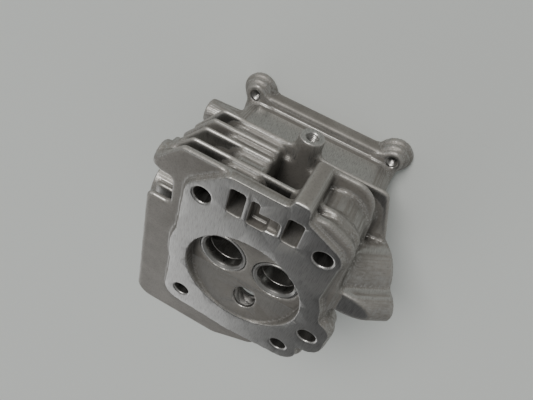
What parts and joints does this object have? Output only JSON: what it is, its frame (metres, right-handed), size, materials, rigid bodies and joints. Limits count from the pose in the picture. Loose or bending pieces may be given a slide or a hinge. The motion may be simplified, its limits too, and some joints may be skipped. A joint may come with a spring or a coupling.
{
  "type": "cylinder head",
  "caption": "Air-cooled engine cylinder head with round combustion chamber, valve seats and guides, cooling fins, pushrod tunnels, rocker box and port flanges.",
  "frame": {"origin": "centre of the combustion chamber on the machined deck", "axes": "+Z out of the deck towards the cylinder, so the head stands on its rocker cover face; +X towards the intake flange; -Y towards the pushrod side"},
  "size_m": [0.1432, 0.153, 0.078],
  "materials": {
    "cast_aluminium": "as-cast aluminium, machined on the deck, flanges and bores",
    "seat_iron": "ground seat insert",
    "guide_iron": "turned guide",
    "clip_steel": "spring wire"
  },
  "bodies": {
    "root": {"casting": "cast_aluminium", "intake_seat": "seat_iron", "exhaust_seat": "seat_iron", "intake_guide": "guide_iron", "exhaust_guide": "guide_iron", "guide_clip": "clip_steel"}
  },
  "joints": []
}
